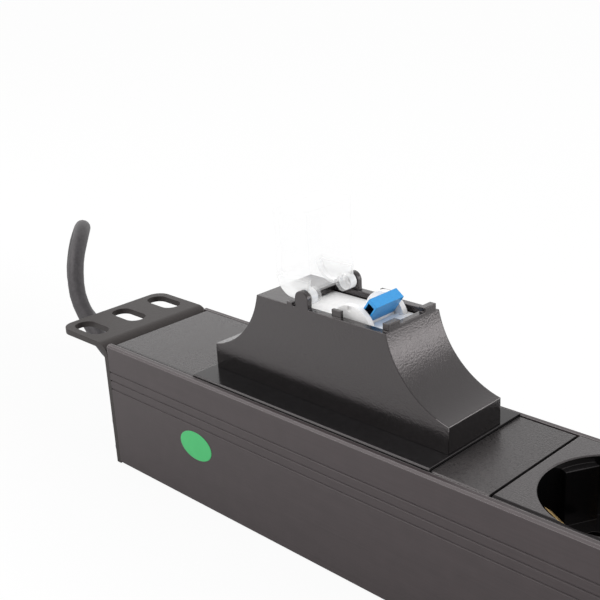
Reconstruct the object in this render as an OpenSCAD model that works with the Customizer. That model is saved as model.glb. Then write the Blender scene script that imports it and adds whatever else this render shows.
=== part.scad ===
// Rack power strip: a one-unit aluminium channel with round earthed outlets, a circuit breaker
// under a moulded hood with a clear flip cover, two rack brackets, and a mains lead with its plug.
// Millimetres. The origin is the middle of the channel's underside, +X runs along it, +Z is up.

/* [Outlets] */
// Length of block left between neighbouring wells
socket_web = 6.7; // [5.5:0.1:11]
// Diameter of an outlet's well
well_d = 38.8; // [38.4:0.1:41]
// Depth of the well below its rim
well_depth = 17.5; // [16:0.1:19]
// Wall left between the well and the side of its block
well_wall = 0.7; // [0.5:0.1:2]
// Distance between the two pin holes
pin_gap = 19; // [18:0.1:21]
// Diameter of a pin hole
pin_hole_d = 5.2; // [5:0.1:5.8]
// Height of an outlet's rim above the channel
socket_proud = 0.2; // [0.2:0.1:1.5]

/* [Channel] */
// Height of the channel
channel_h = 44.4; // [42:0.1:50]
// Thickness of its side walls
wall_t = 1.95; // [1.6:0.05:3]
// Thickness of its floor
floor_t = 2; // [1.5:0.1:3]
// Depth from the channel's top to the ribs that carry the modules
module_depth = 20.8; // [20:0.1:22.5]
// Bore of the four screw ports
port_d = 3.2; // [2.8:0.1:3.6]
// Width of the fine grooves on the sides
groove_w = 0.5; // [0.3:0.1:1]

/* [Brackets] */
// Length of a rack ear, from its end plate to its tip
ear_len = 25.9; // [24:0.1:32]
// Thickness of the bracket sheet
bracket_t = 2; // [1.5:0.1:2.5]
// Outside radius of the bend
bend_r = 5; // [3.5:0.1:6]
// Radius of the ear's outer corners
ear_corner_r = 5; // [2:0.1:8]
// Length of a rack slot
slot_len = 15; // [12:0.1:16]
// Width of a rack slot
slot_w = 7.4; // [6.5:0.1:8]
// Distance between neighbouring slots
slot_pitch = 15.875; // [15:0.005:16.5]
// Distance from the ear's tip to the middle of a slot
slot_inset = 10.4; // [8.75:0.05:12]

/* [Modules] */
// Length of the blank plate over the lead's entry
label_len = 42.4; // [40:0.1:50]
// Length of the breaker's plate beyond each end of the hood
base_lip = 1.1; // [0.7:0.1:5]
// Length of the blank plate between the breaker and the outlets
filler_len = 18.8; // [16:0.1:30]
// Thickness of a module's top plate
plate_t = 2; // [1.5:0.1:3]
// Height of the breaker's plate above the channel
base_proud = 0.8; // [0.3:0.1:1.5]

/* [Hood] */
// Room between each end of the breaker and the hood
hood_room = 2.3; // [1.8:0.1:2.8]
// Height of the hood
hood_h = 28.3; // [28:0.1:32]
// Height of its upright ends
hood_end_h = 7.8; // [7:0.1:9]
// Length of its flat top beyond each end of the breaker's nose
hood_brow = 2; // [1.8:0.1:3.5]
// Radius of its hollow ends
hood_sweep_r = 26.6; // [24:0.1:30]
// Wall of the hood
hood_wall = 1.7; // [1.2:0.1:1.8]

/* [Flip cover] */
// Length of the cover from its hinge to its free end
cover_len = 25.5; // [24.5:0.1:27]
// Depth of the cover
cover_depth = 11.5; // [11:0.1:14]
// Wall of the cover
cover_wall = 1; // [0.8:0.1:1.2]
// Diameter of the cover's hinge pins
hinge_pin_d = 2.5; // [2:0.1:3]

/* [Breaker] */
// Width of the breaker
breaker_w = 17.6; // [17:0.1:18]
// Length of the breaker's body
breaker_len = 82; // [80:0.1:83]
// Length of the breaker's nose
nose_len = 45; // [44:0.1:45.2]
// Lean of the lever at rest, from upright
lever_lean = 36; // [25:1:40]
// Length of the lever from its pivot
lever_len = 10.6; // [9.8:0.1:11.5]
// Width of the lever
lever_w = 11.2; // [9:0.1:12]
// Diameter of the lever's pivot pin
lever_pin_d = 2; // [1.5:0.1:2.5]

/* [Lead and plug] */
// Diameter of the mains lead
cord_d = 6.2; // [6:0.1:8]
// Height of the lead's entry above the floor
gland_z = 22; // [20:0.1:24]
// Length of the strain relief outside the end plate
boot_len = 20; // [20:0.1:30]
// Length of a straight run of the tied hank
hank_run = 122; // [100:1:132]
// Diameter of the plug
plug_d = 37; // [35:0.1:39]
// Length of the plug's body
plug_len = 30; // [26:0.1:40]
// Length of the plug's pins
plug_pin_len = 19; // [18:0.1:20]

/* [Hidden] */
$fn = 48;
end_gap = 0.2;
seam = 0.1;
side_gap = 0.15;
run_gap = 0.05;
sunk = 0.5;
over = 1;
socket_count = 6;
socket_pitch = well_d + socket_web;
hood_slack = 0.75;
hood_len = breaker_len + 2 * (hood_wall + hood_room);
hood_w = breaker_w + 2 * (hood_wall + hood_slack);
hood_top_len = nose_len + 2 * hood_brow;
base_len = hood_len + 2 * base_lip;

// Widths across the strip
plate_hw = well_d / 2 + well_wall;
inner_hw = plate_hw + side_gap;
half_w = inner_hw + wall_t;
edge_cut = 0.6;

// Places along the strip
body_len = 2 * end_gap + label_len + base_len + filler_len + socket_count * socket_pitch;
x_start = -body_len / 2;
label_x = x_start + end_gap;
base_x = label_x + label_len;
filler_x = base_x + base_len;
sockets_x = filler_x + filler_len;
hood_shift = 0.5;
breaker_x = base_x + base_len / 2 + hood_shift;

// Heights inside the channel
rib_w = 2;
rib_t = 1.6;
rib_top = channel_h - module_depth;
port_r = 3;
port_inset = 2.6;
port_drop = 9.1;
port_zs = [floor_t + port_inset, rib_top - port_drop];
screw_head_r = 3.4;
screw_head_t = 2;
screw_bite = 8;
drive_len = 3.2;
drive_w = 0.8;
drive_depth = 1.2;
groove_step = 3.1;
groove_drop = 9.8;

// Snap-in modules
skirt_t = 1.2;
plate_cut = 0.4;
filler_seam = 1;
filler_inset = 0.45;
label_gap = 1.8;
label_seam = 0.9;
hook_t = 1.2;
hook_w = 8;
hook_reach = 0.8;
hook_gap = 0.2;

// Hood, window and hinge, measured from the breaker's middle
base_top = channel_h + base_proud;
hood_top = base_top + hood_h;
window_x0 = -12;
window_x1 = nose_len / 2;
window_hw = breaker_w / 2 + 0.2;
tab_h = 2.2;
tab_y = 5.2;
tab_w = 4.7;
lip_h = 0.9;
snap_x = 6.5;
snap_len = 3.4;
snap_h = 2.2;
snap_t = 0.9;
hinge_x = -6.15;
hinge_z = hood_top + 2.65;
ear_r = 2.45;
ear_t = 1.6;
ear_skin = 0.4;
cover_gap = 0.35;
cover_hw = hood_w / 2 - ear_t - cover_gap;
cover_lip = 1.1;
heel_r = 6.4;
heel_u = 5.2;
boss_r = hinge_z - hood_top - cover_gap;
boss_len = 3;

// Breaker, measured from its middle
nose_top = hood_top - hood_wall - 0.3;
shoulder_z = base_top + 5.3;
rail_h = 7.5;
rail_w = 35;
rail_t = 1;
rail_hat = 25;
rail_top = floor_t + rail_h;
breaker_foot = 4;
lever_x = 9.3;
lever_z = nose_top - 1.9;
drum_r = 4.4;
drum_gap = 0.4;
cheek_r = 7.3;
cheek_in = lever_w / 2 + 0.35;
cheek_out = cover_hw - cover_wall - 0.45;
lever_t = 3.3;
tie_hole = [2.2, 4.2];
tie_hole_r = 7.4;
clamp_size = [7, 5.4, 8];
clamp_x = breaker_len / 2 - 6.5;
clamp_y = breaker_w / 4;
clamp_z = shoulder_z - 15;
clamp_screw_r = 2.2;
rivet_r = 1.2;
rivet_drop = 28.5;
rivet_low = shoulder_z - rivet_drop;
rivet_places = [[-18, shoulder_z + 9.5], [20, shoulder_z + 5.5], [-30, rivet_low], [30, rivet_low]];

// Outlets and their contacts
pin_turn = 152;
clip_turn = pin_turn - 90;
pin_dx = pin_gap / 2 * cos(pin_turn);
pin_dy = pin_gap / 2 * sin(pin_turn);
socket_top = channel_h + socket_proud;
well_floor = socket_top - well_depth;
socket_inset = 0.2;
rim_cut = 0.3;
guide_w = 9.5;
guide_reach = 2.6;
guide_drop = 2;
finger_w = 6.5;
finger_t = 0.8;
finger_r = well_d / 2 - 2.4;
finger_top = socket_top - 1;
finger_bow = 0.5;
finger_lip = 1.3;
finger_slot = 0.3;
strap_t = 1;
cup_r = 3.6;
cup_bore = 2.35;
bar_w = 5;
bar_t = 1;
bar_top = rib_top - 7.6;
post_r = 2.2;
bar_guide = 5;
earth_bar_w = 4;
earth_bar_z = rib_top - strap_t - bar_t;
cup_top = earth_bar_z - 0.3;
post_x = socket_pitch / 2 - 5;
bar_lead = 8;

// Strain relief and wires
thread_r = 8;
nut_t = 5;
nut_r = 11;
collar_t = 4;
boot_rings = 5;
wire_r = 1.4;
lug_inset = 24;
lug_x = label_x + lug_inset;
lug_y = 9.5;
lug_r = 4.5;
lug_t = 0.8;
stud_r = 2;
link_rise = 18;
link_drop = 9;
link_foot = 6;
cord_r = cord_d / 2;
exit_x = x_start - bracket_t - boot_len;
core_x = x_start + nut_t + 2;

// Tied hank behind the strip, and the plug beside it
hank_x = 40;
hank_y = 57.6;
hank_z = 1;
hank_inner_r = 21;
hank_layers = 2;
hank_hw = hank_inner_r + 1.5 * cord_d;
hank_hole = hank_inner_r - cord_r;
hank_h = hank_layers * cord_d;
tie_t = 0.8;
tie_w = 12;
plug_x = 174;
plug_y = 46;
plug_z = plug_d / 2 + 0.3;
plug_boot = 22;
plug_groove = 11;

// Route of the lead from the strain relief, over its arch and along the back to the hank
lie_z = cord_r + 0.1;
lane_y = hank_y - hank_inner_r - cord_d;
cord_route = [
  [exit_x, 0, gland_z], [-247.8, 0.6, 26.4], [-258.8, 1.4, 33.8], [-268.2, 3.3, 42.8], [-274.9, 8.4, 52.8],
  [-282.7, 16.7, 59.2], [-292.9, 25, 59.9], [-303.8, 30.5, 54.8], [-312.4, 32.5, 45], [-315.9, 32.2, 32.3],
  [-313.1, 32.3, 19.5], [-304.9, 34.9, 9.6], [-293.6, 39.3, lie_z + 1.3], [-280.9, 43, lie_z],
  [-267.8, 43.7, lie_z], [-254.7, 41.9, lie_z], [-241.6, lane_y + 9.1, lie_z], [-215, lane_y + 7.1, lie_z],
  [-180, lane_y + 4.6, lie_z], [-140, lane_y + 2, lie_z], [-100, lane_y, lie_z], [-70, lane_y, lie_z + 0.2],
  [-45, lane_y, hank_z + cord_r], [hank_x - hank_run / 2, lane_y, hank_z + cord_r]
];

plug_route = [
  [hank_x + hank_run / 2, lane_y, hank_z + 1.5 * cord_d],
  [112, 30.5, 11.2], [123, 33, 12.6], [134, 38, 15], [144, 43, 17.6], [plug_x - plug_boot, plug_y, plug_z]
];

black = [0.13, 0.125, 0.125];
gloss_black = [0.06, 0.06, 0.065];
white = [0.92, 0.92, 0.91];
brass = [0.80, 0.62, 0.30];
steel = [0.72, 0.73, 0.75];
brown = [0.40, 0.22, 0.12];
wire_blue = [0.16, 0.32, 0.70];
earth_green = [0.55, 0.72, 0.20];

// Helpers: a flat outline drawn out along X or Y, and rods along X, Y or Z
module along_x(x, length) {
  translate([x, 0, 0])
    rotate([90, 0, 90])
      linear_extrude(length)
        children();
}

module along_y(y, length) {
  translate([0, y + length, 0])
    rotate([90, 0, 0])
      linear_extrude(length)
        children();
}

module rod_x(x, y, z, r, length, sides = $fn) {
  translate([x, y, z])
    rotate([0, 90, 0])
      cylinder(r = r, h = length, $fn = sides);
}

module rod_y(x, y, z, r, length) {
  translate([x, y + length, z])
    rotate([90, 0, 0])
      cylinder(r = r, h = length);
}

module rod_z(x, y, z, r, length) {
  translate([x, y, z])
    cylinder(r = r, h = length);
}

module both_sides() {
  children();
  mirror([0, 1, 0])
    children();
}

// A round tube swept along points, eased between them by a Catmull-Rom curve
function unit(v) = v / norm(v);
function held(p, i) = p[max(0, min(i, len(p) - 1))];
function eased(a, b, c, d, t) =
  0.5 * (2 * b + (c - a) * t + (2 * a - 5 * b + 4 * c - d) * t * t + (3 * b - a - 3 * c + d) * t * t * t);
function smooth(p, steps) = [
  for (i = [0:len(p) - 2], k = [0:steps - 1])
    eased(held(p, i - 1), p[i], p[i + 1], held(p, i + 2), k / steps),
  p[len(p) - 1]
];
function heading(p, i) = unit(held(p, i + 1) - held(p, i - 1));
function headings(p, first, last) = [
  for (i = [0:len(p) - 1]) i == 0 ? first : i == len(p) - 1 ? last : heading(p, i)
];
function square_to(n, t) = unit(n - (n * t) * t);
function carried(t, i, n) =
  i >= len(t) ? [] : let (m = square_to(n, t[i])) concat([m], carried(t, i + 1, m));

module tube(points, r, steps, sides, first_way, last_way) {
  p = smooth(points, steps);
  t = headings(p, first_way, last_way);
  n = carried(t, 0, [0, 1, 0]);
  last = len(p) - 1;
  ring = [for (i = [0:last], k = [0:sides - 1])
    let (a = 360 * k / sides)
      p[i] + r * (cos(a) * n[i] + sin(a) * cross(t[i], n[i]))];
  skin = [for (i = [0:last - 1], k = [0:sides - 1])
    let (a = i * sides + k, b = i * sides + (k + 1) % sides)
      each [[a, a + sides, b], [b, a + sides, b + sides]]];
  first_cap = [for (k = [0:sides - 1]) k];
  last_cap = [for (k = [0:sides - 1]) last * sides + sides - 1 - k];
  polyhedron(points = ring, faces = concat(skin, [first_cap, last_cap]), convexity = 6);
}

// Channel: walls, floor, ribs that carry the modules, and screw ports for the brackets
module channel_outline() {
  polygon([
    [-half_w + edge_cut, 0], [half_w - edge_cut, 0], [half_w, edge_cut], [half_w, channel_h - edge_cut],
    [half_w - edge_cut, channel_h], [-half_w + edge_cut, channel_h],
    [-half_w, channel_h - edge_cut], [-half_w, edge_cut]
  ]);
}

module channel_ports(r) {
  for (s = [-1, 1], z = port_zs)
    translate([s * (inner_hw - port_inset), z])
      circle(r);
}

module channel_section() {
  difference() {
    union() {
      difference() {
        channel_outline();
        translate([-inner_hw, floor_t])
          square([2 * inner_hw, channel_h]);
        for (s = [-1, 1], i = [0:2])
          translate([s * half_w, channel_h - groove_drop - i * groove_step])
            rotate(45)
              square(groove_w, center = true);
      }
      for (s = [-1, 1])
        translate([s * (inner_hw - rib_w / 2) - rib_w / 2, rib_top - rib_t])
          square([rib_w, rib_t]);
      channel_ports(port_r);
    }
    channel_ports(port_d / 2);
  }
}

module channel() {
  color(black)
    difference() {
      along_x(x_start, body_len)
        channel_section();
      rail_holes(-over);
      rod_z(lug_x, lug_y, -over, stud_r + run_gap, floor_t + 2 * over);
    }
}

// Brackets: one bent sheet with an end plate and a slotted rack ear
module bracket_section() {
  translate([-bracket_t, 0])
    square([bracket_t, channel_h - bend_r]);
  translate([-bracket_t - ear_len, channel_h - bracket_t])
    square([bracket_t + ear_len - bend_r, bracket_t]);
  translate([-bend_r, channel_h - bend_r])
    intersection() {
      difference() {
        circle(bend_r);
        circle(bend_r - bracket_t);
      }
      square(bend_r);
    }
}

module bracket_plan() {
  tip = -bracket_t - ear_len;
  translate([tip + ear_corner_r, -half_w])
    square([ear_len + bracket_t - ear_corner_r, 2 * half_w]);
  translate([tip, -half_w + ear_corner_r])
    square([ear_corner_r, 2 * (half_w - ear_corner_r)]);
  for (s = [-1, 1])
    translate([tip + ear_corner_r, s * (half_w - ear_corner_r)])
      circle(ear_corner_r);
}

module rack_slot() {
  reach = (slot_len - slot_w) / 2;
  translate([-reach, -slot_w / 2, 0])
    cube([2 * reach, slot_w, bracket_t + 2 * over]);
  for (s = [-1, 1])
    rod_z(s * reach, 0, 0, slot_w / 2, bracket_t + 2 * over);
}

module bracket(entry) {
  difference() {
    intersection() {
      along_y(-half_w, 2 * half_w)
        bracket_section();
      linear_extrude(channel_h + over)
        bracket_plan();
    }
    for (i = [-1:1])
      translate([-bracket_t - ear_len + slot_inset, i * slot_pitch, channel_h - bracket_t - over])
        rack_slot();
    for (s = [-1, 1], z = port_zs)
      rod_x(-bracket_t - over, s * (inner_hw - port_inset), z, port_d / 2 + 0.4, bracket_t + 2 * over);
    if (entry)
      rod_x(-bracket_t - over, 0, gland_z, thread_r + run_gap, bracket_t + 2 * over);
  }
}

module left_bracket() {
  color(black)
    translate([x_start, 0, 0])
      bracket(true);
}

module right_bracket() {
  color(black)
    mirror([1, 0, 0])
      translate([x_start, 0, 0])
        bracket(false);
}

module bracket_screws() {
  for (s = [-1, 1], z = port_zs)
    translate([x_start - bracket_t, s * (inner_hw - port_inset), z])
      difference() {
        union() {
          rod_x(-screw_head_t, 0, 0, screw_head_r, screw_head_t);
          rod_x(0, 0, 0, port_d / 2 - run_gap, bracket_t + screw_bite);
        }
        for (a = [0, 90])
          rotate([a, 0, 0])
            translate([-screw_head_t - over, -drive_len / 2, -drive_w / 2])
              cube([over + drive_depth, drive_len, drive_w]);
      }
}

module left_screws() {
  color(steel)
    bracket_screws();
}

module right_screws() {
  color(steel)
    mirror([1, 0, 0])
      bracket_screws();
}

// A snap-in module: a top plate on two skirts that stand on the ribs, with hooks under them
module snap_hook(top) {
  y = inner_hw - rib_w - hook_gap;
  rib_low = rib_top - rib_t;
  along_x(-hook_w / 2, hook_w)
    polygon([
      [y - hook_t, top], [y, top], [y, rib_low - seam], [y + hook_reach, rib_low - seam],
      [y, rib_low - seam - 1.6], [y - hook_t, rib_low - seam - 1.6]
    ]);
}

module plate_section(low, top, hw = plate_hw) {
  polygon([
    [-hw, low], [hw, low], [hw, top - plate_cut], [hw - plate_cut, top],
    [-hw + plate_cut, top], [-hw, top - plate_cut]
  ]);
}

module snap_cover(x, length, top, hook_xs, gap = seam, inset = 0) {
  along_x(x + gap / 2, length - gap)
    plate_section(channel_h - plate_t, top, plate_hw - inset);
  both_sides() {
    translate([x + gap / 2, plate_hw - skirt_t, rib_top])
      cube([length - gap, skirt_t, channel_h - plate_t - rib_top + sunk]);
    for (hx = hook_xs)
      translate([hx, 0, 0])
        snap_hook(channel_h - plate_t + sunk);
  }
}

module label_cover() {
  color(black)
    snap_cover(
      label_x + label_gap, label_len - label_gap, channel_h,
      [label_x + label_len * 0.25, label_x + label_len * 0.75], label_seam
    );
}

module filler_plate() {
  color(black)
    snap_cover(
      filler_x, filler_len - filler_seam, channel_h, [filler_x + filler_len / 2], seam, filler_inset
    );
}

module breaker_base() {
  color(gloss_black)
    difference() {
      snap_cover(base_x, base_len, base_top, [base_x + base_len * 0.2, base_x + base_len * 0.8]);
      translate([breaker_x - breaker_len / 2 - 0.3, -breaker_w / 2 - 0.2, channel_h - plate_t - over])
        cube([breaker_len + 0.6, breaker_w + 0.4, plate_t + base_proud + 2 * over]);
    }
}

// Hood: a hollow shell whose ends sweep up in two hollow curves to a flat top with a window
function sweep_centre(a, b, r) =
  let (m = (a + b) / 2, h = (b - a) / 2, k = sqrt(r * r - h * h) / norm(h))
    m + k * [-h[1], h[0]];

module hood_profile(inset) {
  foot = [hood_len / 2, base_top + hood_end_h];
  brow = [hood_top_len / 2, hood_top];
  centre = sweep_centre(brow, foot, hood_sweep_r);
  difference() {
    translate([-hood_len / 2 + inset, base_top - (inset > 0 ? over : 0)])
      square([hood_len - 2 * inset, hood_h - inset + (inset > 0 ? over : 0)]);
    for (s = [-1, 1])
      translate([s * centre[0], centre[1]])
        circle(hood_sweep_r + inset, $fn = 96);
  }
}

module hinge_ear() {
  along_y(hood_w / 2 - ear_t, ear_t) {
    translate([hinge_x, hinge_z])
      circle(ear_r);
    translate([hinge_x - ear_r, hood_top - sunk])
      square([2 * ear_r, hinge_z - hood_top + sunk]);
  }
}

module breaker_hood() {
  rim_y = hood_w / 2 - ear_t;
  color(black)
    translate([breaker_x, 0, 0])
      difference() {
        union() {
          difference() {
            along_y(-hood_w / 2, hood_w)
              hood_profile(0);
            along_y(-hood_w / 2 + hood_wall, hood_w - 2 * hood_wall)
              hood_profile(hood_wall);
            translate([window_x0, -window_hw, hood_top - hood_wall - over])
              cube([window_x1 - window_x0, 2 * window_hw, hood_wall + 2 * over]);
          }
          both_sides() {
            hinge_ear();
            translate([snap_x - snap_len / 2, rim_y, hood_top - sunk])
              cube([snap_len, snap_t, snap_h + sunk]);
            translate([window_x0, rim_y, hood_top - sunk])
              cube([hood_brow, ear_t, lip_h + sunk]);
            translate([window_x1, tab_y, hood_top - sunk])
              cube([hood_brow, tab_w, tab_h + sunk]);
          }
          translate([window_x1, -tab_y, hood_top - sunk])
            cube([hood_brow, 2 * tab_y, lip_h + sunk]);
        }
        rod_y(hinge_x, ear_skin - hood_w / 2, hinge_z, hinge_pin_d / 2 + run_gap, hood_w - 2 * ear_skin);
      }
}

// Clear flip cover, drawn shut and stood open on its hinge
module cover_side() {
  translate([heel_u, -cover_lip])
    square([cover_len - heel_u, cover_depth + cover_lip]);
  translate([heel_u, cover_depth - heel_r])
    circle(heel_r);
  circle(boss_r);
  translate([0, -cover_lip])
    square([heel_r, cover_depth - heel_r]);
}

module cover_hollow() {
  translate([heel_u, -cover_lip - over])
    square([cover_len - heel_u - cover_wall, cover_depth - cover_wall + cover_lip + over]);
  translate([heel_u, cover_depth - heel_r])
    circle(heel_r - cover_wall);
  translate([-2 * heel_r, -2 * heel_r])
    square([3 * heel_r, cover_depth - heel_r - 0.8 + 2 * heel_r]);
}

module clear_cover() {
  color([0.9, 0.93, 0.95, 0.35])
    translate([breaker_x + hinge_x, 0, hinge_z])
      rotate([0, -90, 0]) {
        difference() {
          along_y(-cover_hw, 2 * cover_hw)
            cover_side();
          along_y(-cover_hw + cover_wall, 2 * (cover_hw - cover_wall))
            cover_hollow();
        }
        both_sides() {
          rod_y(0, cover_hw - cover_wall - boss_len, 0, boss_r, boss_len + sunk);
          rod_y(0, cover_hw - cover_wall, 0, hinge_pin_d / 2, cover_wall + cover_gap + ear_t - ear_skin - seam);
        }
      }
}

// Breaker: two case halves, with the lever and its drum on a pin between the cheeks
module case_outline() {
  b = breaker_len / 2;
  n = nose_len / 2;
  low = rail_top - breaker_foot;
  polygon([
    [-b, low], [b, low], [b, shoulder_z], [n, shoulder_z], [n, nose_top],
    [-n, nose_top], [-n, shoulder_z], [-b, shoulder_z]
  ]);
}

module clamp_box() {
  for (s = [-1, 1])
    translate([s * clamp_x, clamp_y, clamp_z])
      cube(clamp_size, center = true);
}

module case_half() {
  half = breaker_w / 2;
  low = rail_top - breaker_foot;
  difference() {
    union() {
      along_y(0, half)
        case_outline();
      along_y(cheek_in, cheek_out - cheek_in)
        translate([lever_x, lever_z])
          circle(cheek_r);
    }
    rod_y(lever_x, -over, lever_z, drum_r + drum_gap, cheek_in + over);
    rod_y(lever_x, -over, lever_z, lever_pin_d / 2, cheek_out - 0.6 + over);
    rod_y(lever_x - 0.5, cheek_out - 0.4, lever_z + 6.1, 0.8, over);
    translate([-rail_w / 2 - 0.2, -over, low - over])
      cube([rail_w + 0.4, half + 2 * over, breaker_foot + over]);
    clamp_box();
    for (s = [-1, 1]) {
      rod_x(s > 0 ? clamp_x : -breaker_len / 2 - over, clamp_y, clamp_z, wire_r + 0.6, 6.5 + over);
      rod_z(s * clamp_x, clamp_y, clamp_z, clamp_screw_r + 0.2, shoulder_z - clamp_z + over);
    }
    for (p = rivet_places)
      rod_y(p[0], -over, p[1], rivet_r, half + 2 * over);
  }
}

module breaker_case_far() {
  color(white)
    translate([breaker_x, 0, 0])
      case_half();
}

module breaker_case_near() {
  color(white)
    translate([breaker_x, 0, 0])
      mirror([0, 1, 0])
        case_half();
}

module breaker_rivets() {
  color(steel)
    for (p = rivet_places)
      rod_y(breaker_x + p[0], -breaker_w / 2, p[1], rivet_r - run_gap, breaker_w);
}

module lever_drum() {
  color(white)
    difference() {
      rod_y(breaker_x + lever_x, -lever_w / 2, lever_z, drum_r, lever_w);
      rod_y(breaker_x + lever_x, -lever_w, lever_z, lever_pin_d / 2 + run_gap, 2 * lever_w);
    }
}

module breaker_lever() {
  color([0.12, 0.45, 0.82])
    translate([breaker_x + lever_x, 0, lever_z])
      rotate([0, lever_lean, 0])
        difference() {
          translate([-lever_t / 2, -lever_w / 2, 0])
            cube([lever_t, lever_w, lever_len]);
          rod_y(0, -lever_w, 0, drum_r, 2 * lever_w);
          translate([-tie_hole[0] / 2, -lever_w, tie_hole_r - tie_hole[1] / 2])
            cube([tie_hole[0], 2 * lever_w, tie_hole[1]]);
        }
}

module lever_pin() {
  reach = cheek_out - 0.6;
  color(steel)
    rod_y(breaker_x + lever_x, -reach, lever_z, lever_pin_d / 2, 2 * reach);
}

module terminal_clamps() {
  color(brass)
    translate([breaker_x, 0, 0])
      both_sides()
        clamp_box();
}

module terminal_screws() {
  low = clamp_z + clamp_size[2] / 2;
  top = shoulder_z - 2;
  color(steel)
    translate([breaker_x, 0, 0])
      both_sides()
        for (s = [-1, 1])
          difference() {
            rod_z(s * clamp_x, clamp_y, low, clamp_screw_r, top - low);
            translate([s * clamp_x - clamp_screw_r, clamp_y - 0.4, top - 1])
              cube([2 * clamp_screw_r, 0.8, 1 + over]);
          }
}

// A short hat rail riveted to the channel's floor carries the breaker
module rail_section() {
  for (s = [-1, 1]) {
    translate([s * (rail_hat - rail_t) / 2 - rail_t / 2, floor_t])
      square([rail_t, rail_h]);
    translate([s * (rail_w + rail_hat) / 4 - (rail_w - rail_hat) / 4 - rail_t / 2, rail_top - rail_t])
      square([(rail_w - rail_hat) / 2 + rail_t, rail_t]);
  }
  translate([-rail_hat / 2, floor_t])
    square([rail_hat, rail_t]);
}

module rail_holes(z) {
  for (s = [-1, 1])
    rod_z(breaker_x + s * 6, 0, z, rivet_r + run_gap, floor_t + rail_t + 2 * over);
}

module din_rail() {
  color(steel)
    difference() {
      translate([breaker_x, 0, 0])
        along_y(-breaker_w / 2, breaker_w)
          intersection() {
            rail_section();
            translate([-rail_w / 2, 0])
              square([rail_w, channel_h]);
          }
      rail_holes(0);
    }
}

module rail_rivets() {
  color(steel)
    for (s = [-1, 1]) {
      rod_z(breaker_x + s * 6, 0, 0.2, rivet_r, floor_t + rail_t - 0.2);
      rod_z(breaker_x + s * 6, 0, floor_t + rail_t, 2.4, 1.2);
    }
}

// Outlet: a block that stands on the ribs, with a round well, guide ribs and skirts for the bars
function socket_x(i) = sockets_x + socket_pitch * (i + 0.5);

module pin_pair(r, z, h) {
  for (s = [-1, 1])
    rod_z(s * pin_dx, s * pin_dy, z, r, h);
}

module guide_ribs() {
  for (a = [pin_turn, pin_turn + 180])
    rotate(a)
      intersection() {
        translate([well_d / 2 - guide_reach, -guide_w / 2, well_floor - 0.5])
          cube([guide_reach + well_wall, guide_w, well_depth - guide_drop + 0.5]);
        rod_z(0, 0, 0, well_d / 2 + well_wall / 2, 2 * channel_h);
      }
}

module socket(i) {
  skirt_y = inner_hw - rib_w - 5.5;
  color(gloss_black)
    translate([socket_x(i), 0, 0]) {
      difference() {
        along_x(-(socket_pitch - seam) / 2, socket_pitch - seam)
          plate_section(rib_top, socket_top, plate_hw - socket_inset);
        rod_z(0, 0, well_floor, well_d / 2, well_depth + over);
        translate([0, 0, socket_top - rim_cut])
          cylinder(r1 = well_d / 2, r2 = well_d / 2 + rim_cut + 0.1, h = rim_cut + 0.1, $fn = 64);
        pin_pair(pin_hole_d / 2, rib_top - over, well_floor);
        for (a = [clip_turn, clip_turn + 180])
          rotate(a)
            translate([finger_r - finger_slot, -finger_w / 2 - finger_slot, rib_top - over])
              cube([finger_t + 2 * finger_slot, finger_w + 2 * finger_slot, well_floor]);
      }
      guide_ribs();
      for (sx = [-1, 1], sy = [-1, 1])
        rod_z(sx * post_x, sy * pin_dy, bar_top, post_r, rib_top - bar_top + sunk);
      both_sides() {
        translate([-bar_guide / 2, skirt_y, bar_top])
          cube([bar_guide, skirt_t, rib_top - bar_top + sunk]);
        snap_hook(rib_top + sunk);
      }
    }
}

// Earth clip: a strap under the well's floor with two sprung fingers that rise beside the wall
module earth_clip(i) {
  color(brass)
    translate([socket_x(i), 0, 0])
      rotate(clip_turn) {
        translate([-finger_r - finger_t, -finger_w / 2, rib_top - strap_t])
          cube([2 * (finger_r + finger_t), finger_w, strap_t]);
        for (a = [0, 180])
          rotate(a)
            translate([0, -finger_w / 2, 0])
              along_y(0, finger_w)
                polygon([
                  [finger_r, rib_top - strap_t], [finger_r + finger_t, rib_top - strap_t],
                  [finger_r + finger_t, well_floor + 3], [finger_r + finger_t - finger_bow, finger_top - 2.2],
                  [finger_r + finger_lip, finger_top - finger_t], [finger_r + finger_lip, finger_top],
                  [finger_r - finger_bow, finger_top - 1.5], [finger_r, well_floor + 3]
                ]);
      }
}

// Bars along the strip: live and neutral carry a cup under each pin hole
module contact_bar(side) {
  translate([sockets_x - bar_lead, side * pin_dy - bar_w / 2, bar_top - bar_t])
    cube([bar_lead + socket_count * socket_pitch - 2, bar_w, bar_t]);
  for (i = [0:socket_count - 1])
    difference() {
      rod_z(socket_x(i) + side * pin_dx, side * pin_dy, bar_top - bar_t, cup_r, cup_top - bar_top + bar_t);
      rod_z(socket_x(i) + side * pin_dx, side * pin_dy, bar_top, cup_bore, cup_top - bar_top + over);
    }
}

module live_bar() {
  color(brass)
    contact_bar(1);
}

module neutral_bar() {
  color(brass)
    contact_bar(-1);
}

module earth_bar() {
  color(brass)
    translate([sockets_x - bar_lead, -earth_bar_w / 2, earth_bar_z])
      cube([bar_lead + socket_count * socket_pitch - 2, earth_bar_w, bar_t]);
}

// Wires: from the lead's cores to the breaker and the earth lug, and on to the bars
module wire(points, tint, last_way = [1, 0, 0]) {
  color(tint)
    tube(points, wire_r, 3, 10, [1, 0, 0], last_way);
}

module core_wire(side, tint) {
  clamp_face = breaker_x - clamp_x - clamp_size[0] / 2;
  wire([
    [core_x, side * 2, gland_z + 1.5], [core_x + 6, side * 2.5, gland_z + 2],
    [core_x + 18, side * 4, gland_z + 8], [clamp_face - 12, side * clamp_y, clamp_z],
    [clamp_face - 5, side * clamp_y, clamp_z], [clamp_face, side * clamp_y, clamp_z]
  ], tint);
}

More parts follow.
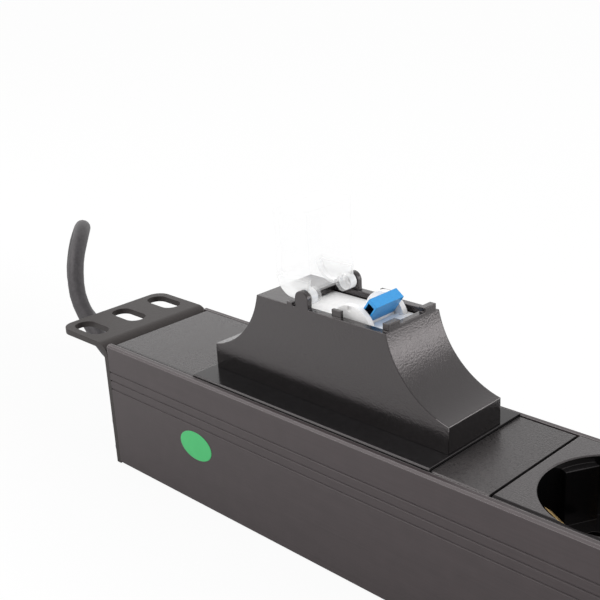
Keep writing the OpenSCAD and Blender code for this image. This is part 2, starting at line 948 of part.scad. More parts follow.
module link_wire(side, tint) {
  clamp_face = breaker_x + clamp_x + clamp_size[0] / 2;
  bar_x = sockets_x - bar_lead + 3;
  wire([
    [clamp_face, side * clamp_y, clamp_z], [clamp_face + 5, side * clamp_y, clamp_z],
    [bar_x - 5, side * (clamp_y + 1), clamp_z - 3], [bar_x - 0.5, side * pin_dy, clamp_z - link_drop],
    [bar_x, side * pin_dy, bar_top + link_foot], [bar_x, side * pin_dy, bar_top]
  ], tint, [0, 0, -1]);
}

module live_lead() {
  core_wire(1, brown);
}

module neutral_lead() {
  core_wire(-1, wire_blue);
}

module live_link() {
  link_wire(1, brown);
}

module neutral_link() {
  link_wire(-1, wire_blue);
}

module earth_lead() {
  wire([
    [core_x, 0, gland_z - 2.5], [core_x + 4, 0.5, gland_z - 4], [core_x + 9, 4, floor_t + 8],
    [lug_x - lug_r - 6, lug_y - 2, floor_t + 2.6], [lug_x - lug_r - 3, lug_y - 2, floor_t + wire_r + 0.1],
    [lug_x - lug_r, lug_y - 2, floor_t + wire_r + 0.1]
  ], earth_green);
}

module earth_link() {
  low = floor_t + wire_r + 0.1;
  link_y = breaker_w / 2 + wire_r + 1.2;
  bar_x = sockets_x - bar_lead;
  wire([
    [lug_x + lug_r, lug_y + 1, low], [lug_x + lug_r + 6, lug_y + 1, low], [base_x + 6, link_y, low + 1],
    [filler_x - link_rise, link_y, low + 1], [filler_x - 4, link_y - 0.5, low + 3],
    [bar_x - 8, 5, earth_bar_z - 5], [bar_x - 4, 1, earth_bar_z - 0.1],
    [bar_x, 0, earth_bar_z + 0.1]
  ], earth_green);
}

module earth_lug() {
  color(steel)
    difference() {
      union() {
        rod_z(lug_x, lug_y, floor_t, lug_r, lug_t);
        for (p = [[-lug_r, -2], [lug_r - 2, 1]])
          translate([lug_x + p[0], lug_y + p[1] - wire_r, floor_t])
            cube([2, 2 * wire_r, 2 * wire_r + 0.2]);
      }
      rod_z(lug_x, lug_y, floor_t - over, stud_r + run_gap, lug_t + 2 * over);
      rod_z(lug_x, lug_y, floor_t + lug_t, 3.6, channel_h);
    }
}

module earth_screw() {
  color(steel)
    difference() {
      union() {
        rod_z(lug_x, lug_y, 0.2, stud_r, floor_t + lug_t);
        rod_z(lug_x, lug_y, floor_t + lug_t, 3.4, 2.2);
      }
      for (a = [0, 90])
        translate([lug_x, lug_y, floor_t + lug_t + 2.2])
          rotate(a)
            cube([4, 0.8, 2], center = true);
    }
}

// Strain relief: a hexagon collar outside the end plate, a ringed taper, and a nut inside
module cord_gland() {
  face = x_start - bracket_t;
  ring_step = (boot_len - collar_t) / (2 * boot_rings);
  tip_r = cord_r + 1.4;
  root_r = thread_r;
  color(black)
    difference() {
      union() {
        rod_x(face, 0, gland_z, thread_r, bracket_t + nut_t + 2);
        rod_x(face - collar_t, 0, gland_z, nut_r, collar_t, 6);
        translate([face - collar_t, 0, gland_z])
          rotate([0, -90, 0])
            cylinder(r1 = root_r, r2 = tip_r, h = boot_len - collar_t);
      }
      for (k = [0:boot_rings - 1])
        translate([face - collar_t - ring_step * (2 * k + 1), 0, gland_z])
          rotate([0, -90, 0])
            difference() {
              cylinder(r = 2 * thread_r, h = ring_step * 0.8);
              cylinder(r = tip_r - 0.4 + (root_r - tip_r) * (1 - (k + 1) / boot_rings), h = ring_step * 0.8);
            }
    }
}

module gland_nut() {
  color(black)
    difference() {
      rod_x(x_start, 0, gland_z, nut_r, nut_t, 6);
      rod_x(x_start - over, 0, gland_z, thread_r + run_gap, nut_t + 2 * over);
    }
}

// The lead's own solids: the open stretch, the tied hank and the tail to the plug
module power_cord() {
  color(black)
    tube(cord_route, cord_r, 2, 12, [-1, 0, 0], [1, 0, 0]);
}

module plug_lead() {
  color(black)
    tube(plug_route, cord_r, 2, 12, [1, 0, 0], [1, 0, 0]);
}

module hank_outline(r) {
  translate([-hank_run / 2, -r])
    square([hank_run, 2 * r]);
  for (s = [-1, 1])
    translate([s * hank_run / 2, 0])
      circle(r);
}

module cord_hank() {
  color(black)
    translate([hank_x, hank_y, hank_z])
      linear_extrude(hank_h)
        difference() {
          hank_outline(hank_hw);
          hank_outline(hank_hole);
        }
}

module cord_ties() {
  bundle = hank_hw - hank_hole;
  color([0.2, 0.2, 0.21])
    for (s = [-1, 1])
      translate([hank_x - tie_w / 2, hank_y + s * (hank_hw + hank_hole) / 2, hank_z])
        difference() {
          translate([0, -bundle / 2 - tie_t, -tie_t])
            cube([tie_w, bundle + 2 * tie_t, hank_h + 2 * tie_t]);
          translate([-over, -bundle / 2, 0])
            cube([tie_w + 2 * over, bundle, hank_h]);
        }
}

// Plug: a round body with a grip and two side channels, pins, and sprung earth straps
module plug_body() {
  r = plug_d / 2;
  neck = plug_len * 0.55;
  color(black)
    translate([plug_x, plug_y, plug_z])
      rotate([0, 90, 0])
        difference() {
          rotate_extrude()
            polygon([
              [0, -plug_boot], [cord_r + 1.2, -plug_boot], [cord_r + 2.2, -plug_boot * 0.3], [cord_r + 4, 0],
              [r * 0.72, plug_len * 0.12], [r * 0.78, neck * 0.6], [r - 1.5, neck], [r, neck + 2],
              [r, plug_len - 1], [r - 1, plug_len], [0, plug_len]
            ]);
          for (s = [-1, 1])
            translate([s * (r - 1.2) - 1.6, -3.6, plug_len - plug_groove])
              cube([3.2, 7.2, plug_groove + over]);
          for (k = [1:4])
            translate([0, 0, -plug_boot + k * plug_boot * 0.17])
              difference() {
                cylinder(r = 12, h = 1.4);
                cylinder(r = cord_r + 0.7, h = 1.4);
              }
        }
}

module plug_pins() {
  color(steel)
    for (s = [-1, 1])
      translate([plug_x + plug_len, plug_y + s * pin_gap / 2, plug_z])
        rotate([0, 90, 0]) {
          cylinder(r = 2.4, h = plug_pin_len - 2.4);
          translate([0, 0, plug_pin_len - 2.4])
            sphere(r = 2.4);
        }
}

module plug_earth_straps() {
  inner = plug_d / 2 - 2.8;
  color(brass)
    for (s = [-1, 1])
      translate([plug_x + plug_len - plug_groove, plug_y - 2.6, plug_z + s * (inner + 0.5) - 0.5])
        cube([plug_groove - 1, 5.2, 1]);
}

channel();
left_bracket();
right_bracket();
left_screws();
right_screws();
label_cover();
breaker_base();
breaker_hood();
filler_plate();
clear_cover();
breaker_case_near();
breaker_case_far();
breaker_rivets();
breaker_lever();
lever_drum();
lever_pin();
terminal_clamps();
terminal_screws();
din_rail();
rail_rivets();
socket(0);  // socket_1
socket(1);  // socket_2
socket(2);  // socket_3
socket(3);  // socket_4
socket(4);  // socket_5
socket(5);  // socket_6
earth_clip(0);  // earth_clip_1
earth_clip(1);  // earth_clip_2
earth_clip(2);  // earth_clip_3
earth_clip(3);  // earth_clip_4
earth_clip(4);  // earth_clip_5
earth_clip(5);  // earth_clip_6
live_bar();
neutral_bar();
earth_bar();
live_lead();
neutral_lead();
earth_lead();
live_link();
neutral_link();
earth_link();
earth_lug();
earth_screw();
cord_gland();
gland_nut();
power_cord();
cord_hank();
cord_ties();
plug_lead();
plug_body();
plug_pins();
plug_earth_straps();
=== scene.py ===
# %% [markdown]
# # A rack power strip
# A black channel with round earthed outlets, a circuit breaker under a moulded hood, a clear flip
# cover that stands open, and a mains lead that rises behind the rack ear. The solids could be
# modelled here again, but they would drift from the part's own source. So they come from the packed
# frame, and this lesson gives them their finishes, the loose lead, a sticker and the light.

# %% Load the frame
import bmesh
import bpy
import math
from mathutils import Matrix, Vector


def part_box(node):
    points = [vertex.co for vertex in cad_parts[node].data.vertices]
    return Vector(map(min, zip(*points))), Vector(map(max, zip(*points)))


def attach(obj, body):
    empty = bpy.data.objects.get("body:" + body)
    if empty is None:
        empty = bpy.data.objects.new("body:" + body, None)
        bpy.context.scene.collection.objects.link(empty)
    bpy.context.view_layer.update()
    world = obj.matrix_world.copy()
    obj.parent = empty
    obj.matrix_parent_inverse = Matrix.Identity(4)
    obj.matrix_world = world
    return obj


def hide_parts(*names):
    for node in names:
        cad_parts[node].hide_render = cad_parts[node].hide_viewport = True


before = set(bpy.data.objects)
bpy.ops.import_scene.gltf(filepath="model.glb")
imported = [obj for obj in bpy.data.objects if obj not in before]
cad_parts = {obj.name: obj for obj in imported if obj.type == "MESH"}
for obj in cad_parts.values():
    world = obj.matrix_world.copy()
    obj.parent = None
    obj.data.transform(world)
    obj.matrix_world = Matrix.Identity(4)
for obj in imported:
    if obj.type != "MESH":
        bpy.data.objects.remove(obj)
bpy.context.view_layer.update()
MM = 0.001

# %% [markdown]
# ## Camera
# The photograph looks down the strip from its outlet end, with a slight roll. A constraint that
# tracks a target would lose that roll, so the three axes of the camera are worked out from its
# azimuth, elevation and roll, and go into its matrix.

# %% Camera
CAMERA_AT = Vector((70.8, -206.2, 180.2)) * MM
AZIMUTH, ELEVATION, ROLL = 45.96, 20.39, -3.17
SENSOR_WIDTH, LENS = 36, 64.51
NEAREST = 0.01


def aim(azimuth, elevation, roll):
    a, e, r = (math.radians(v) for v in (azimuth, elevation, roll))
    back = Vector((math.sin(a) * math.cos(e), -math.cos(a) * math.cos(e), math.sin(e)))
    right = Vector((0, 0, 1)).cross(back).normalized()
    up = back.cross(right)
    rolled_right = right * math.cos(r) + up * math.sin(r)
    rolled_up = up * math.cos(r) - right * math.sin(r)
    return Matrix((rolled_right, rolled_up, back)).transposed()


camera = bpy.data.objects.new("camera", bpy.data.cameras.new("camera"))
bpy.context.collection.objects.link(camera)
camera.data.sensor_width = SENSOR_WIDTH
camera.data.lens = LENS
camera.data.clip_start = NEAREST
camera.matrix_world = Matrix.Translation(CAMERA_AT) @ aim(AZIMUTH, ELEVATION, ROLL).to_4x4()
bpy.context.scene.camera = camera
print("camera at", [round(v, 3) for v in camera.location])

# %% [markdown]
# ## Mains lead
# The lead leaves the strain relief, arches up behind the ear and lies down along the back of the
# strip, where it is tied in a hank and ends in its plug. A Bezier curve would need handles at each
# point; a line of close points, eased from a few route points, keeps the same route as the solids.

# %% Route of the lead, in millimetres
CORD_D = 6.2
LANE = 30.4
ROUTE = [
    (-235.4, 0, 22), (-247.8, 0.6, 26.4), (-258.8, 1.4, 33.8), (-268.2, 3.3, 42.8), (-274.9, 8.4, 52.8),
    (-282.7, 16.7, 59.2), (-292.9, 25, 59.9), (-303.8, 30.5, 54.8), (-312.4, 32.5, 45), (-315.9, 32.2, 32.3),
    (-313.1, 32.3, 19.5), (-304.9, 34.9, 9.6), (-293.6, 39.3, 4.5), (-280.9, 43, 3.2), (-267.8, 43.7, 3.2),
    (-254.7, 41.9, 3.2), (-241.6, 39.5, 3.2), (-215, 37.5, 3.2), (-180, 35, 3.2), (-140, 32.4, 3.2),
    (-100, LANE, 3.2), (-70, LANE, 3.4), (-45, LANE, 4.1),
]
PLUG_TAIL = [(112, 30.5, 11.2), (123, 33, 12.6), (134, 38, 15), (144, 43, 17.6), (152, 46, 18.8)]
RUN_POINTS, FOLD_POINTS, EASE_STEPS = 5, 9, 3


def hank(centre_x=40, centre_y=57.6, run=122, inner=21, low=4.1):
    outer, high = inner + CORD_D, low + CORD_D
    legs = [  # radius and height at the start and end of each straight run and the fold after it
        (outer, low, outer, low), (outer, low, inner, low), (inner, low, inner, low),
        (inner, low, inner, high), (inner, high, outer, high), (outer, high, outer, high),
        (outer, high, outer, high),
    ]
    points = []
    for k, (r0, z0, r1, z1) in enumerate(legs):
        side = 1 if k % 2 == 0 else -1
        for step in range(RUN_POINTS):
            t = step / RUN_POINTS
            x = centre_x + side * (t - 0.5) * run
            points.append((x, centre_y - side * r0, z0 + (z1 - z0) * t))
        if k == len(legs) - 1:
            points.append((centre_x + run / 2, centre_y - r0, z1))
            break
        for step in range(FOLD_POINTS):
            t = step / FOLD_POINTS
            r, a = r0 + (r1 - r0) * t, math.pi * (t - 0.5)
            x = centre_x + side * (run / 2 + r * math.cos(a))
            points.append((x, centre_y + side * r * math.sin(a), z1))
    return points


def eased(points, steps):
    p = [Vector(v) for v in [points[0], *points, points[-1]]]
    line = []
    for a, b, c, d in zip(p, p[1:], p[2:], p[3:]):
        for k in range(steps):
            t = k / steps
            square = (2 * a - 5 * b + 4 * c - d) * t**2
            cube = (3 * b - a - 3 * c + d) * t**3
            line.append(0.5 * (2 * b + (c - a) * t + square + cube))
    return line + [p[-1]]


lead_line = eased(ROUTE + hank() + PLUG_TAIL, EASE_STEPS)
lead_length = sum((b - a).length for a, b in zip(lead_line, lead_line[1:])) * MM
print("lead:", len(lead_line), "points,", round(lead_length, 3), "m")

# %% The lead as one tube
curve = bpy.data.curves.new("lead_line", "CURVE")
curve.dimensions = "3D"
curve.bevel_depth = CORD_D / 2 * MM
curve.bevel_resolution = 6
curve.use_fill_caps = True
spline = curve.splines.new("POLY")
spline.points.add(len(lead_line) - 1)
for point, place in zip(spline.points, lead_line):
    point.co = (*(place * MM), 1)
swept = bpy.data.objects.new("lead_line", curve)
lead = bpy.data.objects.new("mains_lead", bpy.data.meshes.new_from_object(swept))
bpy.data.objects.remove(swept)
lead.data.shade_smooth()
bpy.context.collection.objects.link(lead)
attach(lead, "strip")
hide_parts("power_cord", "cord_hank", "plug_lead")
[place * MM for place in lead_line]

# %% [markdown]
# ## Writing finishes as sums
# Each finish is a small tree of shader nodes. Wiring them by hand hides the idea behind names of
# sockets, so a socket is wrapped in a class that understands + - * and > <, and makes the Math node
# itself. Its method add makes any other node.

# %% A socket that can be written in sums
class Ink:
    def __init__(self, tree, socket=None):
        self.tree, self.socket = tree, socket

    def add(self, kind, settings={}, values={}, out=0):
        node = self.tree.nodes.new("ShaderNode" + kind)
        for key, setting in settings.items():
            setattr(node, key, setting)
        for key, value in values.items():
            if isinstance(value, Ink):
                self.tree.links.new(value.socket, node.inputs[key])
            else:
                node.inputs[key].default_value = value
        return Ink(self.tree, node.outputs[out] if len(node.outputs) else None)

    def reckon(self, operation, *values):
        return self.add("Math", {"operation": operation}, dict(enumerate(values)))

    def __add__(self, other):
        return self.reckon("ADD", self, other)

    def __radd__(self, other):
        return self.reckon("ADD", other, self)

    def __sub__(self, other):
        return self.reckon("SUBTRACT", self, other)

    def __rsub__(self, other):
        return self.reckon("SUBTRACT", other, self)

    def __mul__(self, other):
        return self.reckon("MULTIPLY", self, other)

    def __rmul__(self, other):
        return self.reckon("MULTIPLY", other, self)

    def __gt__(self, other):
        return self.reckon("GREATER_THAN", self, other)

    def __lt__(self, other):
        return self.reckon("LESS_THAN", self, other)

    def __abs__(self):
        return self.reckon("ABSOLUTE", self)

    def near(self, value, reach):
        return self.reckon("COMPARE", self, value, reach)

    def slope(self, low, high, at_low=0.0, at_high=1.0):
        return self.add("MapRange", {}, {"Value": self, 1: low, 2: high, 3: at_low, 4: at_high})

    def blend(self, dark, light):
        return self.add("Mix", {"data_type": "RGBA"}, {0: self, 6: dark, 7: light}, out=2)


print("sockets can now be added, taken away, multiplied and compared")

# %% [markdown]
# ## A finish as one object
# Every finish on the strip has a colour between two shades, a roughness, a fine grain and edges that
# are not quite sharp. A node group could hold these, but a class can also give the finish a step that
# only some pieces need, such as a highlight painted lighter along their edges.

# %% A finish and its steps
RELIEF = 0.0002


class Finish:
    def __init__(self, name, **constants):
        self.material = bpy.data.materials.new(name)
        self.material.use_nodes = True
        self.tree = self.material.node_tree
        self.shader = self.tree.nodes["Principled BSDF"]
        self.ink = Ink(self.tree)
        self.place = self.ink.add("TexCoord", out="Object")
        for key, value in constants.items():
            self.shader.inputs[key.replace("_", " ")].default_value = value

    def along(self, axis):
        return self.ink.add("SeparateXYZ", {}, {0: self.place}, out=axis)

    def height(self):
        return self.along("Z")

    def noise(self, scale, detail=2.0, stretch=(1, 1, 1)):
        place = self.ink.add("Mapping", {}, {"Vector": self.place, "Scale": stretch})
        return self.ink.add("TexNoise", {}, {"Vector": place, "Scale": scale, "Detail": detail})

    def feed(self, name, ink):
        self.tree.links.new(ink.socket, self.shader.inputs[name])
        return self

    def tint(self, mask, dark, light):
        self.colour = mask.blend((*dark, 1), (*light, 1))
        return self.feed("Base Color", self.colour)

    def paint(self, mask, colour):
        self.colour = mask.blend(self.colour, (*colour, 1))
        return self.feed("Base Color", self.colour)

    # painted highlight: the colour turns lighter along edges, where the bevelled normal leaves the true one
    def highlighted(self, light, where=1.0, radius=0.0005, amount=3.0):
        rounded = self.ink.add("Bevel", {"samples": 8}, {"Radius": radius})
        flat = self.ink.add("NewGeometry", out="True Normal")
        alike = self.ink.add("VectorMath", {"operation": "DOT_PRODUCT"}, {0: rounded, 1: flat}, out="Value")
        edge = self.ink.add("Clamp", {}, {"Value": (1 - alike) * where * amount})
        return self.paint(edge, light)

    def surface(self, height=None, strength=0.1, edge=0.0003):
        normal = self.ink.add("Bevel", {"samples": 6}, {"Radius": edge})
        if height is not None:
            relief = {"Strength": strength, "Distance": RELIEF, "Height": height, "Normal": normal}
            normal = self.ink.add("Bump", {}, relief)
        return self.feed("Normal", normal)


print("a finish can be tinted, painted, worn and given a grain")

# %% [markdown]
# ## Black finishes
# The blacks of this strip are the anodised channel with its drawn grain, powder coat on the ears,
# spark-eroded grain on the hood and the plates, smooth plastic under the hood and in the outlets, and
# the jacket of the lead. They could share one material, but they differ in roughness and in the size
# of their grain more than in colour, so each has its own. Where the plate over the lead's entry drops
# into the shadow of the channel's lip, its last millimetre is painted dark.

# %% Anodised channel and powder-coated ears
WARM = (1.0, 0.92, 0.93, 1)
GROOVE_HEIGHTS, GROOVE_REACH = (0.0346, 0.0315, 0.0284), 0.00025
LIP_HIGHLIGHT_FROM = 0.0415
anodised = Finish("anodised_black", Specular_IOR_Level=0.5, Specular_Tint=WARM)
drawn = anodised.noise(60, 4, (0.5, 40, 40))
mottle = anodised.noise(180, 3)
tall = anodised.height()
high_groove, mid_groove, low_groove = (tall.near(z, GROOVE_REACH) for z in GROOVE_HEIGHTS)
grooves = high_groove + mid_groove + low_groove
# painted shade: the three grooves are painted darker than the drawn grain around them
grain_and_groove_shade = (drawn * 0.6 + mottle * 0.4) * (1 - grooves * 0.6)
anodised.tint(grain_and_groove_shade, (0.024, 0.0188, 0.0199), (0.058, 0.046, 0.048))
# painted highlight: the edges of the lip, above the grooves, are painted lighter
anodised.highlighted((0.26, 0.245, 0.245), tall > LIP_HIGHLIGHT_FROM, amount=6.0)
anodised.feed("Roughness", 0.36 + drawn * 0.12 + grooves * 0.15)
anodised.surface(drawn + anodised.noise(2200) * 0.6, 0.08)

powder = Finish("powder_black", Specular_IOR_Level=0.3, Specular_Tint=WARM)
peel = powder.noise(1400, 2)
powder.tint(peel, (0.026, 0.023, 0.022), (0.046, 0.041, 0.039))
powder.feed("Roughness", 0.42 + peel * 0.16)
powder.surface(peel, 0.25)
print("made", anodised.material.name, powder.material.name)

# %% Grained hood, smoother at its foot
PIT_SPAN, PIT_SHARE = (0.38, 0.62), 0.75
CLOUD_SCALE, CLOUD_SHARE = 45, 0.25
FOOT_SPAN = (0.048, 0.057)
FOOT_HIGHLIGHT_AT, FOOT_HIGHLIGHT_REACH = 0.053, 0.0012
hood_grain = Finish("hood_grain", Specular_IOR_Level=0.85, Specular_Tint=WARM)
pits = hood_grain.noise(1900, 3)
haze = hood_grain.noise(CLOUD_SCALE, 2)
pitted_skin = pits.slope(*PIT_SPAN) * PIT_SHARE + haze * CLOUD_SHARE
hood_grain.tint(pitted_skin, (0.0005, 0.0005, 0.0005), (0.010, 0.0091, 0.0095))
foot = hood_grain.height().slope(*FOOT_SPAN, 0.1, 1.0)
hood_grain.feed("Roughness", (0.16 + pits * 0.08 + haze * 0.05) * (0.5 + foot * 0.5))
hood_grain.surface(pits * foot, 0.5, edge=0.0005)
# painted highlight: the edges at the hood's foot are painted lighter
foot_highlight = hood_grain.height().near(FOOT_HIGHLIGHT_AT, FOOT_HIGHLIGHT_REACH)
hood_grain.highlighted((0.24, 0.23, 0.23), foot_highlight, radius=0.0004, amount=6.0)
print("made", hood_grain.material.name)

# %% Grained plates, smooth base, lead and ties
HIGHLIGHT_GREY = (0.10, 0.094, 0.095)
LIP_SHADOW_AT, LIP_SHADOW_REACH = -0.0200, 0.0010
ENTRY_PLATE_BEFORE = -0.1


def moulded(name, dark, light, rough, scale, strength, shine=0.5):
    finish = Finish(name, Specular_IOR_Level=shine, Specular_Tint=WARM)
    grain = finish.noise(scale, 3)
    cloud = finish.noise(CLOUD_SCALE, 2)
    finish.tint(grain.slope(*PIT_SPAN) * PIT_SHARE + cloud * CLOUD_SHARE, dark, light)
    finish.feed("Roughness", rough - 0.06 + grain * 0.08 + cloud * 0.05)
    return finish.surface(grain, strength)


plate_grain = moulded("plate_grain", (0.012, 0.0112, 0.0112), (0.046, 0.042, 0.042),
                      rough=0.28, scale=2200, strength=0.5)
# painted highlight along the plate's edges
plate_grain.highlighted(HIGHLIGHT_GREY)
# painted shadow: the entry plate's last millimetre along the near lip is painted near black
on_entry_plate = plate_grain.along("X") < ENTRY_PLATE_BEFORE
plate_grain.paint(plate_grain.along("Y").near(LIP_SHADOW_AT, LIP_SHADOW_REACH) * on_entry_plate, (0.004, 0.004, 0.004))
smooth_black = moulded("smooth_black", (0.003, 0.003, 0.0033), (0.006, 0.006, 0.0065),
                       rough=0.16, scale=600, strength=0.02, shine=0.34)
# painted highlight along the base plate's edges
smooth_black.highlighted(HIGHLIGHT_GREY)
jacket_black = moulded("jacket_black", (0.030, 0.029, 0.031), (0.050, 0.048, 0.051),
                       rough=0.52, scale=900, strength=0.12)
strap_black = moulded("strap_black", (0.012, 0.012, 0.013), (0.030, 0.030, 0.031),
                      rough=0.85, scale=1100, strength=0.8)
print("made", [finish.material.name for finish in (plate_grain, smooth_black, jacket_black, strap_black)])

# %% [markdown]
# ## Outlets
# Each outlet is one moulded block with a grained face and a polished well. Two materials would need
# its faces sorted by hand, so one finish tells the face from the well by height. The well is painted
# darker as shade. Along the near edge the face drops into the shadow of the channel's lip, and its
# last millimetre is painted dark as that shadow.

# %% Outlets: a grained face, and a smooth well below the rim, painted darker as shade
RIM = 0.0443
outlet_black = Finish("outlet_black", Specular_IOR_Level=0.6, Specular_Tint=WARM)
face = outlet_black.height() > RIM
speck = outlet_black.noise(2200, 3)
grainy = 0.4 + speck.slope(*PIT_SPAN) * 0.6
out_of_lip_shadow = 1 - outlet_black.along("Y").near(LIP_SHADOW_AT, LIP_SHADOW_REACH)
# painted shade: the well takes the darkest colour, and the band by the near lip is a painted shadow
outlet_black.tint(face * grainy * out_of_lip_shadow, (0.003, 0.003, 0.0032), (0.052, 0.048, 0.0485))
outlet_black.feed("Roughness", 0.14 + face * 0.14 + speck * 0.06 + (1 - out_of_lip_shadow) * face * 0.6)
# painted highlight along the face's edges
outlet_black.highlighted(HIGHLIGHT_GREY, face * out_of_lip_shadow).surface(speck * face, 0.5)
print("made", outlet_black.material.name)

# %% [markdown]
# ## Breaker, clear cover and metals
# The breaker is plain white plastic with a bright blue lever, whose square hole is painted dark as
# shade. The cover is thin clear plastic. Glass would bend the light twice and draw dark outlines, so it
# is a faint veil that thickens edge on and turns milky at its heel, most of all by the hinge bosses.
# Contacts are brass strip, and screws and pins are plated steel.

# %% Breaker and lever
breaker_white = moulded("breaker_white", (0.84, 0.835, 0.83), (0.90, 0.895, 0.89),
                        rough=0.38, scale=1500, strength=0.06)
lever_blue = moulded("lever_blue", (0.025, 0.29, 0.68), (0.032, 0.33, 0.74),
                     rough=0.30, scale=1500, strength=0.06)
# painted shade: the lever is painted near black where its own shape hides it from light, as in its hole
open_to_light = lever_blue.ink.add("AmbientOcclusion", {"only_local": True}, {"Distance": 0.004}, out="AO")
lever_blue.paint(1 - open_to_light * open_to_light, (0.002, 0.004, 0.008))
print("made", breaker_white.material.name, lever_blue.material.name)

# %% Clear cover
HEEL_SPAN = (0.0765, 0.0825)
BOSS_DEPTH = 4 * MM
VEIL, EDGE_VEIL = 0.03, 0.08
HEEL_MILK, LESS_BETWEEN_BOSSES = 0.75, 0.6
clear = Finish("clear_plastic", Specular_IOR_Level=0.3)
clear.tint(clear.noise(60), (0.94, 0.94, 0.94), (0.97, 0.97, 0.97))
clear.feed("Roughness", 0.10 + clear.noise(120) * 0.06)
heel = clear.height().slope(*HEEL_SPAN, 1.0, 0.0)
edge_on = clear.ink.add("LayerWeight", {}, {"Blend": 0.35}, out="Facing")
bosses_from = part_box("clear_cover")[1][1] - BOSS_DEPTH
between_bosses = abs(clear.along("Y")) < bosses_from
milky = heel * (HEEL_MILK - between_bosses * LESS_BETWEEN_BOSSES)
clear.feed("Alpha", VEIL + milky + edge_on * edge_on * EDGE_VEIL)
clear.surface(clear.noise(240), 0.02)
print("made", clear.material.name)

# %% Metals and wires
def metal(name, dark, light, rough):
    finish = Finish(name, Metallic=1.0)
    streak = finish.noise(90, 3, (1, 14, 14))
    finish.tint(streak, dark, light)
    finish.feed("Roughness", rough + streak * 0.12)
    return finish.surface(streak, 0.05)


plated = metal("plated_steel", (0.55, 0.56, 0.58), (0.70, 0.71, 0.73), rough=0.24)
strip_brass = metal("strip_brass", (0.62, 0.40, 0.15), (0.78, 0.55, 0.24), rough=0.26)
brown_wire = moulded("brown_wire", (0.16, 0.06, 0.03), (0.22, 0.09, 0.05),
                     rough=0.42, scale=900, strength=0.05)
blue_wire = moulded("blue_wire", (0.03, 0.09, 0.36), (0.05, 0.13, 0.45),
                    rough=0.42, scale=900, strength=0.05)

earth_wire = Finish("earth_wire")
band = earth_wire.noise(160, 0) > 0.5
earth_wire.tint(band, (0.06, 0.30, 0.05), (0.62, 0.58, 0.03))
earth_wire.feed("Roughness", 0.40 + band * 0.04).surface()
print("made two metals and three wires")

# %% [markdown]
# ## Dressing the pieces
# On the real strip each piece is of one material all over. Materials could be set piece by piece; one
# table of finishes shows at a glance what is made of what, and which piece was forgotten.

# %% Dress the nodes
DRESS = {
    anodised: "channel",
    powder: "left_bracket right_bracket",
    plate_grain: "label_cover filler_plate",
    smooth_black: "breaker_base",
    hood_grain: "breaker_hood cord_gland gland_nut",
    outlet_black: "socket_1 socket_2 socket_3 socket_4 socket_5 socket_6",
    clear: "clear_cover",
    breaker_white: "breaker_case_near breaker_case_far lever_drum",
    lever_blue: "breaker_lever",
    plated: "left_screws right_screws breaker_rivets lever_pin terminal_screws din_rail rail_rivets "
            "earth_lug earth_screw plug_pins",
    strip_brass: "terminal_clamps live_bar neutral_bar earth_bar plug_earth_straps earth_clip_1 "
                 "earth_clip_2 earth_clip_3 earth_clip_4 earth_clip_5 earth_clip_6",
    brown_wire: "live_lead live_link",
    blue_wire: "neutral_lead neutral_link",
    earth_wire: "earth_lead earth_link",
    jacket_black: "plug_body power_cord cord_hank plug_lead",
    strap_black: "cord_ties",
}


def dress(thing, finish):
    thing.data.materials.clear()
    thing.data.materials.append(finish.material)


for finish, names in DRESS.items():
    for name in names.split():
        dress(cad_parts[name], finish)
dress(lead, jacket_black)
bare = [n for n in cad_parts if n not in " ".join(DRESS.values()).split()]
print("dressed", len(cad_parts), "nodes, left bare:", bare)

# %% [markdown]
# ## Green sticker
# A small plain oval sticker on the near side. It could be a patch of colour in the channel's finish;
# as a thin disc with a turned-down edge, its rim catches light as paper or foil does.

# %% Green sticker
sticker_green = Finish("sticker_green")
sheen = sticker_green.noise(260, 3)
sticker_green.tint(sheen, (0.034, 0.42, 0.122), (0.058, 0.49, 0.155))
sticker_green.feed("Roughness", 0.30 + sheen * 0.1).surface(sheen, 0.04, edge=0.0001)
OVAL_SIDES = 64
OVAL_RINGS = ((1, 0), (1, 0.6), (0.97, 1), (0.5, 1))  # share of the size and of the thickness


def oval(name, centre, wide, tall, thick):
    build = bmesh.new()
    rings = []
    for scale, out in OVAL_RINGS:
        ring = []
        for k in range(OVAL_SIDES):
            a = 2 * math.pi * k / OVAL_SIDES
            x = centre[0] + scale * wide / 2 * math.cos(a)
            z = centre[2] + scale * tall / 2 * math.sin(a)
            ring.append(build.verts.new((x, centre[1] - out * thick, z)))
        rings.append(ring)
    for a, b in zip(rings, rings[1:]):
        for k in range(OVAL_SIDES):
            after = (k + 1) % OVAL_SIDES
            build.faces.new((a[k], a[after], b[after], b[k]))
    build.faces.new(rings[-1])
    build.faces.new(list(reversed(rings[0])))
    bmesh.ops.recalc_face_normals(build, faces=build.faces)
    mesh = bpy.data.meshes.new(name)
    build.to_mesh(mesh)
    build.free()
    thing = bpy.data.objects.new(name, mesh)
    bpy.context.collection.objects.link(thing)
    return thing


STICKER_X, STICKER_Z = -0.1700, 0.0214
near_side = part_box("channel")[0][1]
sticker = oval("green_sticker", (STICKER_X, near_side, STICKER_Z), wide=0.0149, tall=0.0097, thick=0.00012)
dress(sticker, sticker_green)
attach(sticker, "strip")
print("sticker faces:", len(sticker.data.polygons))

# %% [markdown]
# ## Floor and light
# The strip stands on a white sweep, with no hard shadow. A strong lamp would burn the floor white and
# the strip with it. So the camera sees a floor that glows near white and still takes a soft shadow.
# Close to the strip a shadow is painted into the floor, darker to all but the camera, so that the
# channel's side fades towards its foot.

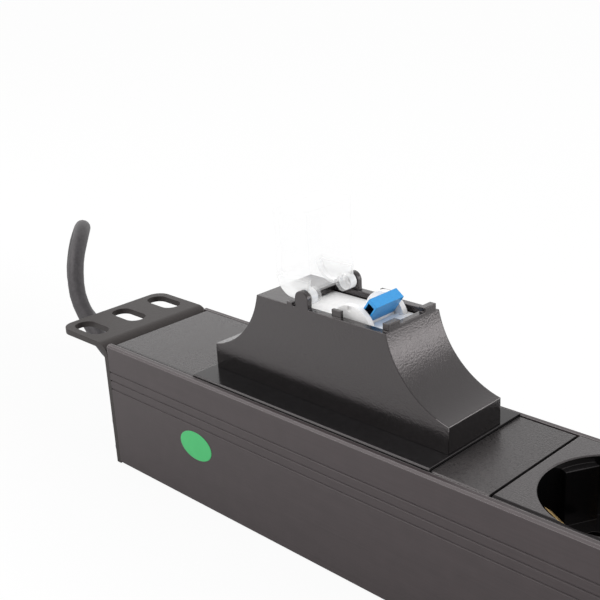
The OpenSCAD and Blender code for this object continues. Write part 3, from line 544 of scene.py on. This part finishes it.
# %% Floor
FLOOR_REACH, FLOOR_LEVEL = 6, -0.0003
SHADED_TO, LIT_FROM, SHADED_LEVEL = 0.022, 0.105, 0.55
FLOOR_GLOW, MIRROR_GLOW = 0.94, 0.35
floor_mesh = bpy.data.meshes.new("floor")
signs = ((-1, -1), (1, -1), (1, 1), (-1, 1))
corners = [(x * FLOOR_REACH, y * FLOOR_REACH, FLOOR_LEVEL) for x, y in signs]
floor_mesh.from_pydata(corners, [], [(0, 1, 2, 3)])
floor = bpy.data.objects.new("floor", floor_mesh)
bpy.context.collection.objects.link(floor)
paper = bpy.data.materials.new("white_sweep")
paper.use_nodes = True
paper.node_tree.nodes.clear()
page = Ink(paper.node_tree)
across = page.add("SeparateXYZ", {}, {0: page.add("TexCoord", out="Object")}, out="Y")
# painted shadow: the floor's colour and its glow in reflections fall to SHADED_LEVEL close to the strip
lit = abs(across).slope(SHADED_TO, LIT_FROM, SHADED_LEVEL, 1.0)
mirror = page.add("LightPath", out="Is Glossy Ray") + page.add("LightPath", out="Is Transmission Ray")
seen = page.add("LightPath", out="Is Camera Ray") * FLOOR_GLOW + mirror * lit * MIRROR_GLOW
chalk = page.add("BsdfDiffuse", {}, {"Color": lit.blend((0, 0, 0, 1), (0.9, 0.9, 0.9, 1))})
glow = page.add("Emission", {}, {"Color": (1, 1, 1, 1), "Strength": 1.0})
page.add("OutputMaterial", {}, {"Surface": page.add("MixShader", {}, {0: seen, 1: chalk, 2: glow})})
floor.data.materials.append(paper)
print("floor is", 2 * FLOOR_REACH, "m wide")

# %% [markdown]
# ## World
# The room is white all round. An even world would make every side of the strip equally grey, so it
# fades upward and is a little brighter at the back left. The camera itself sees plain white.

# %% World
ROOM_LEVEL, UPWARD_FADE, BACK_LEFT_LIFT = 1.02, 0.5, 0.2
world = bpy.data.worlds.new("white_room")
bpy.context.scene.world = world
world.use_nodes = True
backdrop = world.node_tree.nodes["Background"]
backdrop.inputs["Color"].default_value = (1, 1, 1, 1)
sky = Ink(world.node_tree)
shown = sky.add("LightPath", out="Is Camera Ray")
way = sky.add("TexCoord", out="Generated")
right, back, rise = (sky.add("SeparateXYZ", {}, {0: way}, out=axis) for axis in "XYZ")
studio = ROOM_LEVEL - rise * rise * UPWARD_FADE + (back - right) * BACK_LEFT_LIFT
strength = studio + shown * (1 - studio)
world.node_tree.links.new(strength.socket, backdrop.inputs["Strength"])
print("world:", world.name)

# %% [markdown]
# ## Lamps
# Three softboxes light the strip, as in a small studio. The key lights the top faces from the left,
# the low rim draws the bright band on the hood's sweep, and the fill lifts the rest without a
# reflection of its own. A sun would draw hard shadows. The rim would also glare on the plates at the
# hood's foot and show again in its end face, so a flag keeps it off them.

# %% Lamps
AIM_AT = Vector((-0.10, 0, 0.05))


def softbox(name, place, wide, tall, watts):
    lamp = bpy.data.objects.new(name, bpy.data.lights.new(name, "AREA"))
    lamp.data.shape = "RECTANGLE"
    lamp.data.size, lamp.data.size_y, lamp.data.energy = wide, tall, watts
    place = Vector(place)
    turn = (place - AIM_AT).to_track_quat("Z", "Y")
    lamp.matrix_world = Matrix.Translation(place) @ turn.to_matrix().to_4x4()
    bpy.context.collection.objects.link(lamp)
    return lamp


key = softbox("key", (-0.56, -0.36, 0.67), wide=0.6, tall=0.5, watts=3.2)
rim = softbox("rim", (0.55, 0.65, 0.23), wide=0.4, tall=0.36, watts=1.5)
fill = softbox("fill", (0.15, -0.25, 0.85), wide=0.6, tall=0.6, watts=1.8)
fill.visible_glossy = False
flag = bpy.data.collections.new("rim_flag")
for name in ("filler_plate", "breaker_base"):
    flag.objects.link(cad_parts[name])
for held in flag.collection_objects:
    held.light_linking.link_state = "EXCLUDE"
rim.light_linking.receiver_collection = flag
bpy.context.scene.view_settings.view_transform = "Standard"
print("lamps:", [lamp.name for lamp in (key, rim, fill)])
